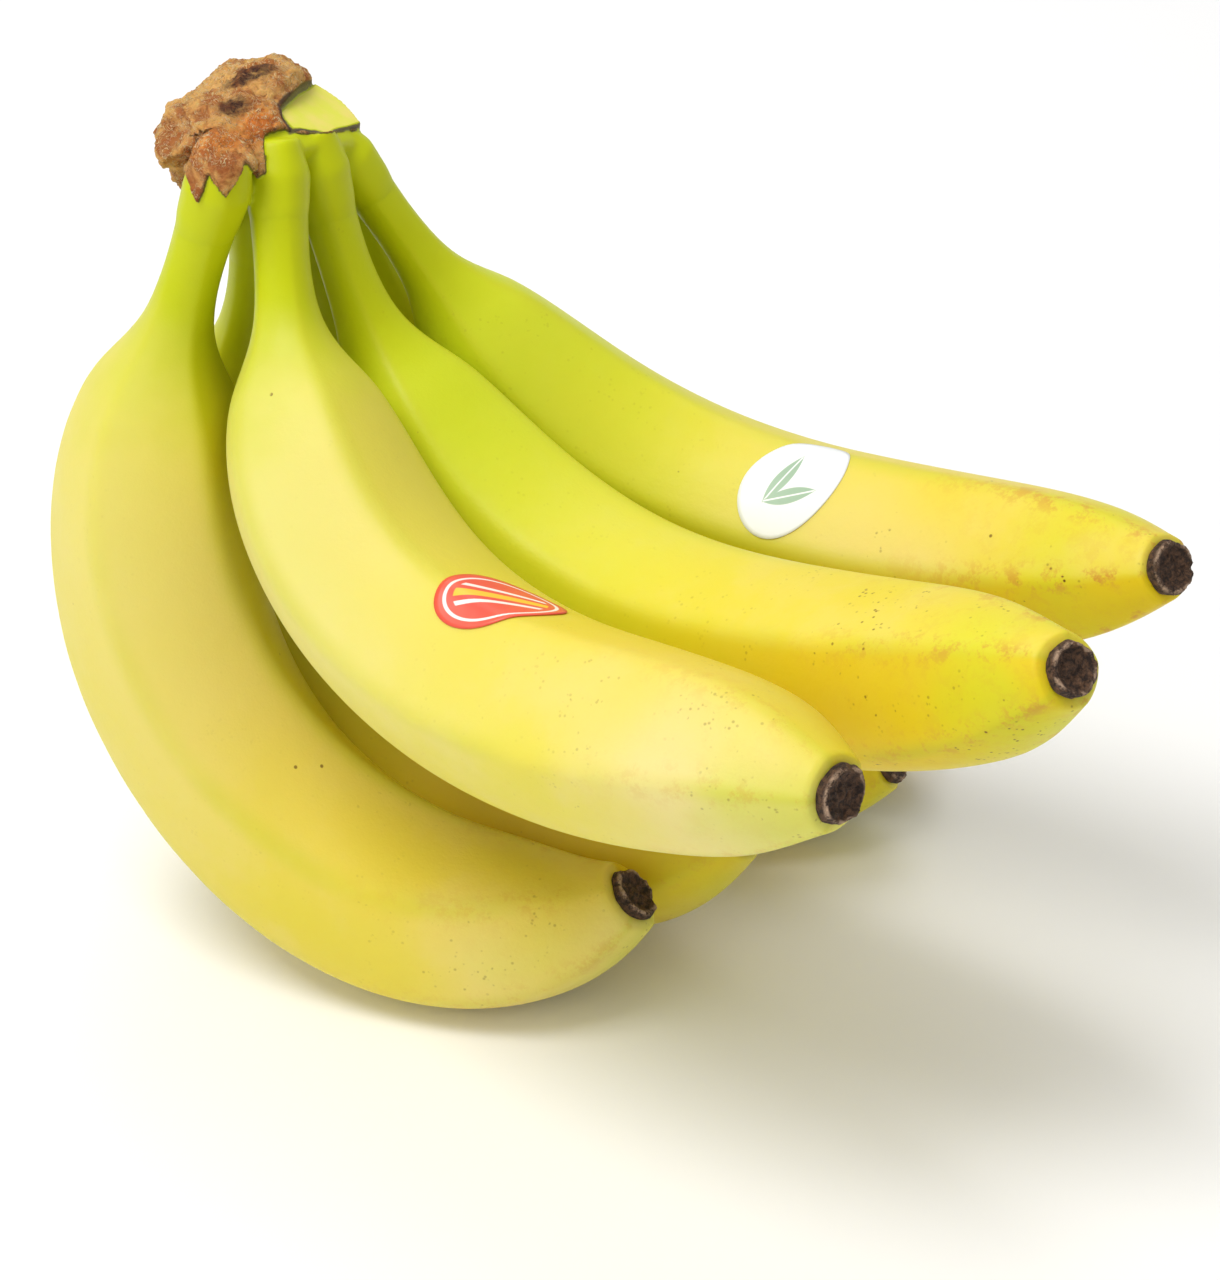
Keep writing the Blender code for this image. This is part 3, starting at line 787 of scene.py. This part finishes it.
def makeSticker(name, node, s, look):
    finger = fingers[s["banana"]]
    mesh, flat = sheet(*stickerGrid)
    turned, share = flat[:, 0] * 2 * math.pi, flat[:, 1]
    long = share * np.cos(turned)
    wide = share * np.sin(turned) * (1 + s["egg"] * np.cos(turned))
    spin = math.radians(s["spin"])
    ahead = long * s["halfLong"] * math.cos(spin) - wide * s["halfWide"] * math.sin(spin)
    aside = long * s["halfLong"] * math.sin(spin) + wide * s["halfWide"] * math.cos(spin)
    at = s["along"] + ahead / finger.length
    angle = s["around"] + np.degrees(aside / np.interp(at, finger.s, finger.radius))
    points = finger.skin(at, angle, s["lift"], pressed=False)
    settle(mesh, points)
    keep(mesh, "printLong", long)
    keep(mesh, "printWide", wide)
    bmesh.ops.remove_doubles(mesh, verts=mesh.verts, dist=0.001 * mm)
    bmesh.ops.recalc_face_normals(mesh, faces=mesh.faces)
    centre = Vector(finger.frame(np.array([s["along"]]))[0][0])
    faces = list(mesh.faces)
    if sum((face.calc_center_median() - centre).dot(face.normal) for face in faces) < 0:
        bmesh.ops.reverse_faces(mesh, faces=faces)
    bmesh.ops.solidify(mesh, geom=faces, thickness=-s["thick"])
    return finish(mesh, name, look, node)


def stickerCoat(look, colour):
    wrinkle = look.noise(160, 3, 0.6)
    rough = look.maths("MULTIPLY_ADD", wrinkle, 0.15, 0.30)
    return look.coat(colour, rough, look.bump(wrinkle, 0.12, 0.0006), {"Specular IOR Level": 0.5})


def whiteLook(s=whiteSticker):
    look = Look("white_sticker")
    long, wide = look.attribute("printLong"), look.attribute("printWide")
    colour = s["paper"]
    # two plain leaves on a stem
    for side in (-1, 1):
        over = look.maths("MULTIPLY_ADD", long, -s["leafLean"], look.maths("MULTIPLY", wide, side))
        down = look.maths("ADD", look.maths("MULTIPLY", wide, s["leafLean"] * side), long)
        bow = look.maths("ADD", look.maths("POWER", look.maths("MULTIPLY", down, 1.45), 2.0), -0.72)
        middle = look.maths("ABSOLUTE", look.maths("SUBTRACT", over, s["leafAside"]))
        leaf = look.maths("ADD", middle, look.times(bow, s["leafWide"]))
        colour = look.mix(look.step(leaf, 0.012, -0.012), colour, s["print"])
        vein = look.times(look.step(middle, 0.026, 0.014), look.step(leaf, 0.0, -0.02))
        colour = look.mix(vein, colour, s["paper"])
    return stickerCoat(look, colour)


def redLook(s=redSticker):
    look = Look("red_sticker")
    long, wide = look.attribute("printLong"), look.attribute("printWide")
    reach = look.maths("SQRT", look.maths("ADD", look.maths("POWER", look.maths("ABSOLUTE", long), 2.0),
                                          look.maths("POWER", look.maths("ABSOLUTE", wide), 2.0)))
    colour = look.mix(look.step(look.noise(90, 2, 0.5), 0.35, 0.7), s["paper"], s["worn"])
    ring = look.maths("ABSOLUTE", look.maths("SUBTRACT", reach, s["ring"]))
    colour = look.mix(look.step(ring, 0.035, 0.020), colour, s["line"])
    for at, broad, ink in s["bands"]:
        band = look.maths("ABSOLUTE", look.maths("SUBTRACT", wide, at))
        ended = look.step(reach, s["bandReach"] + 0.02, s["bandReach"])
        stripe = look.times(look.step(band, broad + 0.02, broad), ended)
        colour = look.mix(stripe, colour, s[ink])
    return stickerCoat(look, colour)


# laid on the peel, each over its own banana
makeSticker("white_label", "sticker_white", whiteSticker, whiteLook())
makeSticker("red_label", "sticker_red", redSticker, redLook())
print("stickers laid")

studio = {
    "target": (0.3, 0.0, 78.2),      # mm, before the centring move
    "distance": 958,
    "elevation": 33.944,
    "roll": -1.3515,
    "focal": 5104.47,                # in rows of an image 1280 rows high
    "sensor": 36,
    "lights": (
        # name, place in metres, size, power, colour
        ("key", (-0.44, -0.30, 1.26), 0.6, 11.2, (1.0, 0.99, 0.97)),
        ("side", (-0.95, -0.80, 0.78), 0.9, 2.6, (1.0, 0.99, 0.97)),
        ("top", (0.05, 0.65, 1.05), 0.7, 2.8, (1.0, 1.0, 1.0)),
    ),
    "sky": 0.48,
    "aim": (0, 0, 0.06),
    "floor": (0.95, 0.95, 0.955, 1.0),
    "floorPale": (0.95, 0.95, 0.95, 1.0),
}


def makeFloor(s=studio):
    mesh = bmesh.new()
    bmesh.ops.create_grid(mesh, x_segments=2, y_segments=2, size=6.0)
    look = Look("pale_floor")
    colour = look.mix(look.step(look.noise(3, 3, 0.5), 0.2, 0.8), s["floor"], s["floorPale"])
    floor = finish(mesh, "floor", look.coat(colour, 0.8))
    floor.data.transform(Matrix.Translation((0, 0, -0.2 * mm)))      # just under the bunch


def makeLights(s=studio):
    world = bpy.data.worlds.new("studio")
    world.use_nodes = True
    world.node_tree.nodes["Background"].inputs["Color"].default_value = (1, 1, 1, 1)
    world.node_tree.nodes["Background"].inputs["Strength"].default_value = s["sky"]
    bpy.context.scene.world = world
    bpy.context.scene.view_settings.view_transform = "Standard"      # colours as they are set
    for name, place, size, power, colour in s["lights"]:
        lamp = bpy.data.lights.new(name, "AREA")
        lamp.shape = "SQUARE"
        lamp.size = size
        lamp.energy = power
        lamp.color = colour
        holder = bpy.data.objects.new(name, lamp)
        holder.location = place
        holder.rotation_mode = "QUATERNION"
        holder.rotation_quaternion = (Vector(s["aim"]) - Vector(place)).to_track_quat("-Z", "Y")
        bpy.context.scene.collection.objects.link(holder)


def makeCamera(s=studio):
    raised, roll = math.radians(s["elevation"]), math.radians(s["roll"])
    back = Vector((0, -math.cos(raised), math.sin(raised)))
    up = Vector((0, math.sin(raised), math.cos(raised)))
    right = Vector((1, 0, 0))
    sideways = right * math.cos(roll) + up * math.sin(roll)
    upright = up * math.cos(roll) - right * math.sin(roll)
    eye = Vector(s["target"]) * mm + Vector(shift) + back * s["distance"] * mm
    lens = bpy.data.cameras.new("camera")
    lens.sensor_width = s["sensor"]
    lens.lens = s["focal"] / 1280 * s["sensor"]
    lens.clip_start, lens.clip_end = 0.05, 20
    camera = bpy.data.objects.new("camera", lens)
    turn = Matrix((sideways, upright, back)).transposed().to_4x4()
    camera.matrix_world = Matrix.Translation(eye) @ turn
    bpy.context.scene.collection.objects.link(camera)
    bpy.context.scene.camera = camera


makeFloor()
makeLights()
makeCamera()
print("studio set")
